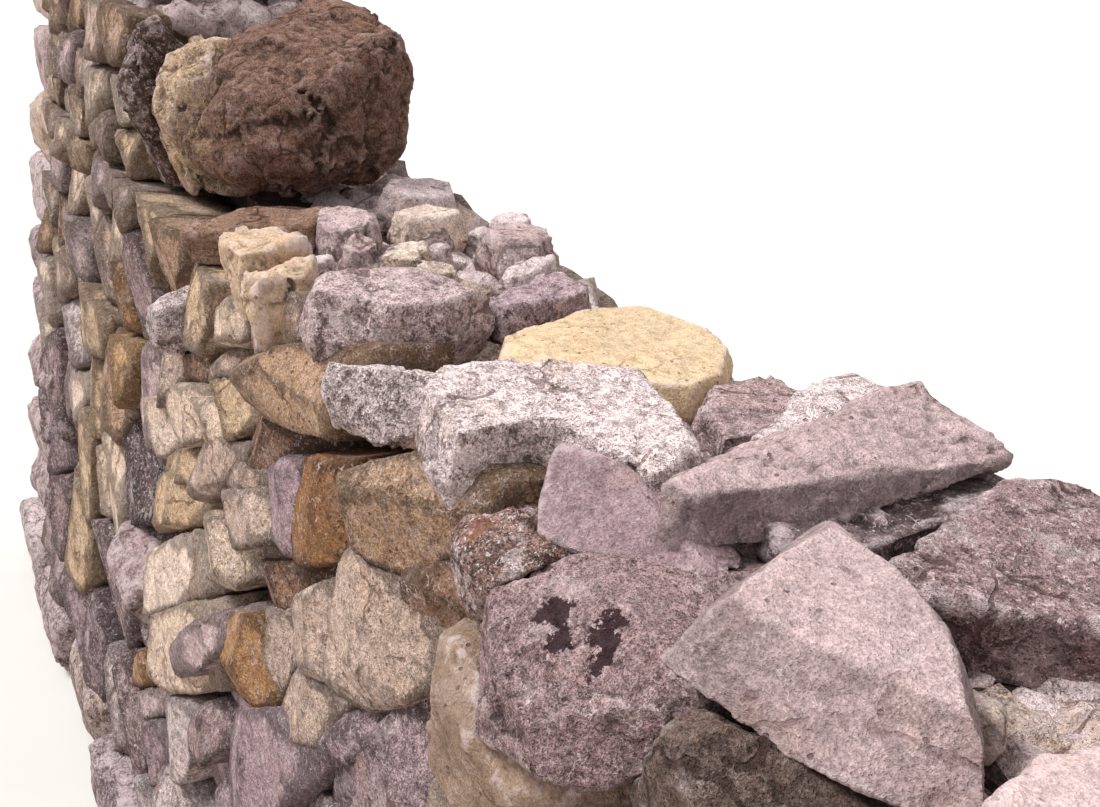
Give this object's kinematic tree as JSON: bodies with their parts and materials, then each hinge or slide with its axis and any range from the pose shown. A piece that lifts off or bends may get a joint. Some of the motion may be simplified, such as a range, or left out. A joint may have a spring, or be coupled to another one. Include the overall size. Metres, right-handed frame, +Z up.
{
  "type": "dry stone wall",
  "caption": "Battered double dry stone wall on boulder footings, with through stones, a raised far stretch with cope stones, and loose slabs and a boulder laid on the lower wall head.",
  "frame": {"origin": "middle of the wall's flat underside, at ground level", "axes": "+X along the wall towards its lower end, +Z up, -Y out of the pictured face"},
  "size_m": [3.6673, 0.8973, 1.5802],
  "materials": {
    "rubble_face": "matte rough limestone",
    "hearting_rubble": "matte broken limestone",
    "pale_grey_stone": "matte pitted limestone",
    "weathered_stone": "matte lichened limestone",
    "dark_brown_stone": "matte dark weathered stone",
    "rust_brown_stone": "matte iron-stained stone",
    "tan_stone": "matte cleft limestone",
    "yellow_stone": "matte cleft limestone",
    "cream_stone": "matte fresh limestone",
    "dark_green_grey_stone": "matte algae-dulled stone"
  },
  "bodies": {
    "root": {"back_bay_1": "rubble_face", "back_bay_2": "rubble_face", "back_bay_3": "rubble_face", "back_bay_4": "rubble_face", "back_far_lift": "rubble_face", "back_footings": "weathered_stone", "brown_slab": "rust_brown_stone", "cream_boulder": "cream_stone", "cream_edge_stones": "cream_stone", "far_cope_stones": "pale_grey_stone", "far_head": "rubble_face", "front_bay_1": "rubble_face", "front_bay_2": "rubble_face", "front_bay_3": "rubble_face", "front_bay_4": "rubble_face", "front_far_lift": "rubble_face", "front_footings": "weathered_stone", "grey_wedge": "pale_grey_stone", "hearting": "hearting_rubble", "hearting_far_lift": "hearting_rubble", "hearting_stones": "pale_grey_stone", "key_block": "pale_grey_stone", "leaning_slab": "dark_brown_stone", "lichened_boulder": "weathered_stone", "lichened_slab": "weathered_stone", "long_pale_block": "pale_grey_stone", "long_slab": "pale_grey_stone", "mossy_stone": "dark_green_grey_stone", "near_cover_stones": "pale_grey_stone", "near_head": "rubble_face", "near_slab": "pale_grey_stone", "ochre_grey_block": "rust_brown_stone", "pale_cap_stone": "pale_grey_stone", "patched_boulder": "pale_grey_stone", "pointed_slab": "pale_grey_stone", "rough_block": "pale_grey_stone", "side_slab": "pale_grey_stone", "speckled_stone": "rust_brown_stone", "tan_upright": "tan_stone", "through_stones": "weathered_stone", "top_boulder": "dark_brown_stone", "under_slab": "pale_grey_stone", "yellow_slab": "yellow_stone"}
  },
  "joints": []
}
